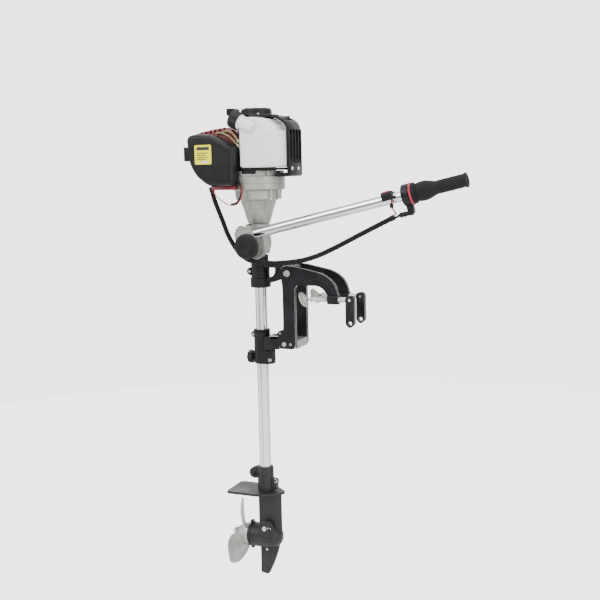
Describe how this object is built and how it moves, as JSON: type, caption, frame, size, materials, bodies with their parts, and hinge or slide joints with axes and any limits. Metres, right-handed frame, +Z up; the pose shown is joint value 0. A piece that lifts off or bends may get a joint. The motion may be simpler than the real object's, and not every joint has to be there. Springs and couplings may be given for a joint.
{
  "type": "outboard motor",
  "caption": "Small air-cooled outboard motor with transom clamp, tilting and steering swivel, folding tiller with twist throttle, long shaft tube, geared lower leg and screw propeller.",
  "frame": {"origin": "middle of the transom block's front face, which rests on the boat's transom", "axes": "+X forward into the boat, +Z up along the shaft, the tiller is on the -Y side"},
  "size_m": [0.6189, 0.181, 1.0554],
  "materials": {
    "anodised": "black anodised, satin, bright milled edges",
    "cast_black": "black powder coat on a casting",
    "cast_grey": "as-cast grey, fine blasted grain",
    "muffler_metal": "heat-dulled sheet steel",
    "propeller_metal": "cast and lightly polished",
    "dark_paint": "charcoal paint, slightly textured",
    "steel": "zinc plated, fine turning marks",
    "chrome": "bright drawn tube",
    "black_plastic": "moulded, fine grain",
    "black_paint": "gloss black paint on pressed steel",
    "red_plastic": "glossy crimson moulding",
    "red_trim": "bright red moulding",
    "tank_plastic": "milky translucent moulding",
    "rubber": "diamond knurled, matt",
    "hose_rubber": "olive fuel hose",
    "bronze": "cut teeth"
  },
  "bodies": {
    "clamp_bracket": {"near_clamp_plate": "anodised", "far_clamp_plate": "anodised", "transom_block": "cast_grey", "tilt_bolt": "steel", "cross_bolt": "steel", "stop_pin": "steel"},
    "swivel_bracket": {"upper_swivel": "cast_black", "upper_bush": "black_plastic", "lower_swivel": "cast_black", "lower_bush": "black_plastic"},
    "friction_screw": {"friction_knob": "black_plastic"},
    "motor": {"shaft_tube": "chrome", "leg_collar": "dark_paint", "gearcase": "dark_paint", "bearing_cap": "dark_paint", "knuckle_clamp": "cast_grey", "clutch_housing": "cast_grey", "crankcase": "cast_grey", "cylinder": "cast_grey", "engine_shroud": "red_plastic", "muffler": "muffler_metal", "muffler_guard": "black_plastic", "air_cleaner": "black_plastic", "carburettor": "cast_grey", "fuel_tank": "tank_plastic", "starter_cover": "black_plastic", "tank_guard": "black_plastic", "starter_rope": "rubber", "fuel_hose_feed": "hose_rubber", "fuel_hose_return": "hose_rubber", "throttle_conduit": "black_plastic"},
    "tiller": {"tiller_arm": "cast_grey", "tiller_tube": "chrome", "kill_switch": "black_plastic", "throttle_housing": "black_plastic", "throttle_ring": "red_trim", "throttle_cable": "black_plastic"},
    "tiller_clamp_knob": {"tiller_knob": "black_plastic"},
    "stop_button": {"kill_button": "red_trim"},
    "twist_grip": {"throttle_grip": "rubber"},
    "filler_cap": {"fuel_cap": "black_plastic"},
    "pull_handle": {"recoil_handle": "rubber"},
    "crank_assembly": {"crankshaft": "steel", "flywheel": "cast_grey", "clutch_rotor": "cast_black"},
    "piston_body": {"piston": "cast_grey"},
    "drive_line": {"drive_shaft": "steel", "clutch_drum": "steel", "drive_pinion": "bronze"},
    "propeller_assembly": {"propeller": "propeller_metal", "propeller_shaft": "steel", "driven_gear": "bronze"},
    "near_clamp_slider": {"near_pad_washer": "steel"},
    "near_screw": {"near_clamp_screw": "steel"},
    "near_pad": {"near_clamp_pad": "cast_grey"},
    "near_lever": {"near_clamp_lever": "black_paint"},
    "far_clamp_slider": {"far_pad_washer": "steel"},
    "far_screw": {"far_clamp_screw": "steel"},
    "far_pad": {"far_clamp_pad": "cast_grey"},
    "far_lever": {"far_clamp_lever": "black_paint"}
  },
  "joints": [
    {"name": "tilt", "type": "hinge", "parent": "clamp_bracket", "child": "swivel_bracket", "pos_m": [-0.017, 0, 0.157], "axis": [0, 1, 0], "range_deg": [0, 60]},
    {"name": "steering", "type": "hinge", "parent": "swivel_bracket", "child": "motor", "pos_m": [-0.097, 0, 0], "axis": [0, 0, 1], "range_deg": [-40, 40]},
    {"name": "friction_knob_turn", "type": "hinge", "parent": "swivel_bracket", "child": "friction_screw", "pos_m": [-0.124, 0, -0.036], "axis": [1, 0, 0], "range_deg": [-180, 30]},
    {"name": "tiller_fold", "type": "hinge", "parent": "motor", "child": "tiller", "pos_m": [-0.0936, 0, 0.217], "axis": [0, -1, 0], "range_deg": [-15, 30], "deforming": ["throttle_conduit"]},
    {"name": "tiller_knob_turn", "type": "hinge", "parent": "motor", "child": "tiller_clamp_knob", "pos_m": [-0.0936, 0, 0.217], "axis": [0, 1, 0], "range_deg": [-180, 30]},
    {"name": "throttle_twist", "type": "hinge", "parent": "tiller", "child": "twist_grip", "pos_m": [-0.1079, -0.046, 0.2379], "axis": [0.9738, 0, 0.2275], "range_deg": [0, 75], "stiffness_Nm_per_rad": 0.08, "springref_deg": -20.05},
    {"name": "stop_button_press", "type": "slide", "parent": "tiller", "child": "stop_button", "axis": [0.2275, 0, -0.9738], "range_m": [0, 0.0025], "stiffness_N_per_m": 600, "springref_m": -0.001},
    {"name": "fuel_cap_turn", "type": "hinge", "parent": "motor", "child": "filler_cap", "pos_m": [-0.1164, -0.058, 0.4842], "axis": [-0.9135, 0, 0.4067], "range_deg": [0, 540]},
    {"name": "recoil_pull", "type": "slide", "parent": "motor", "child": "pull_handle", "axis": [-1, 0, 0], "range_m": [0, 0.5], "stiffness_N_per_m": 18, "springref_m": -0.35, "deforming": ["starter_rope"]},
    {"name": "crankshaft_spin", "type": "hinge", "parent": "motor", "child": "crank_assembly", "pos_m": [-0.097, 0, 0.415], "axis": [0, 0, 1], "continuous": true},
    {"name": "piston_stroke", "type": "slide", "parent": "motor", "child": "piston_body", "axis": [-1, 0, 0], "range_m": [0, 0.026]},
    {"name": "propeller_spin", "type": "hinge", "parent": "motor", "child": "propeller_assembly", "pos_m": [-0.097, 0, -0.452], "axis": [1, 0, 0], "continuous": true},
    {"name": "drive_shaft_spin", "type": "hinge", "parent": "motor", "child": "drive_line", "pos_m": [-0.097, 0, 0], "axis": [0, 0, 1], "continuous": true},
    {"name": "near_clamp_slide", "type": "slide", "parent": "clamp_bracket", "child": "near_clamp_slider", "axis": [1, 0, 0], "range_m": [-0.005, 0.0351]},
    {"name": "near_screw_turn", "type": "hinge", "parent": "near_clamp_slider", "child": "near_screw", "pos_m": [0.07, -0.0335, 0.1035], "axis": [1, 0, 0], "range_deg": [-1020, 7200]},
    {"name": "near_pad_tilt", "type": "hinge", "parent": "near_clamp_slider", "child": "near_pad", "pos_m": [0.024, -0.0335, 0.1035], "axis": [0, 1, 0], "range_deg": [0, 52]},
    {"name": "near_lever_fold", "type": "hinge", "parent": "near_screw", "child": "near_lever", "pos_m": [0.126, -0.0335, 0.1035], "axis": [0, 1, 0], "range_deg": [-100, 8]},
    {"name": "far_clamp_slide", "type": "slide", "parent": "clamp_bracket", "child": "far_clamp_slider", "axis": [1, 0, 0], "range_m": [-0.005, 0.0351]},
    {"name": "far_screw_turn", "type": "hinge", "parent": "far_clamp_slider", "child": "far_screw", "pos_m": [0.07, 0.0335, 0.1035], "axis": [1, 0, 0], "range_deg": [-1020, 7200]},
    {"name": "far_pad_tilt", "type": "hinge", "parent": "far_clamp_slider", "child": "far_pad", "pos_m": [0.024, 0.0335, 0.1035], "axis": [0, 1, 0], "range_deg": [0, 52]},
    {"name": "far_lever_fold", "type": "hinge", "parent": "far_screw", "child": "far_lever", "pos_m": [0.126, 0.0335, 0.1035], "axis": [0, 1, 0], "range_deg": [-100, 8]}
  ],
  "couplings": [
    {"joint": "drive_shaft_spin", "follows": "propeller_spin", "ratio": 1.8462},
    {"joint": "near_clamp_slide", "follows": "near_screw_turn", "m_per_rad": 0.00027852},
    {"joint": "far_clamp_slide", "follows": "far_screw_turn", "m_per_rad": 0.00027852}
  ]
}
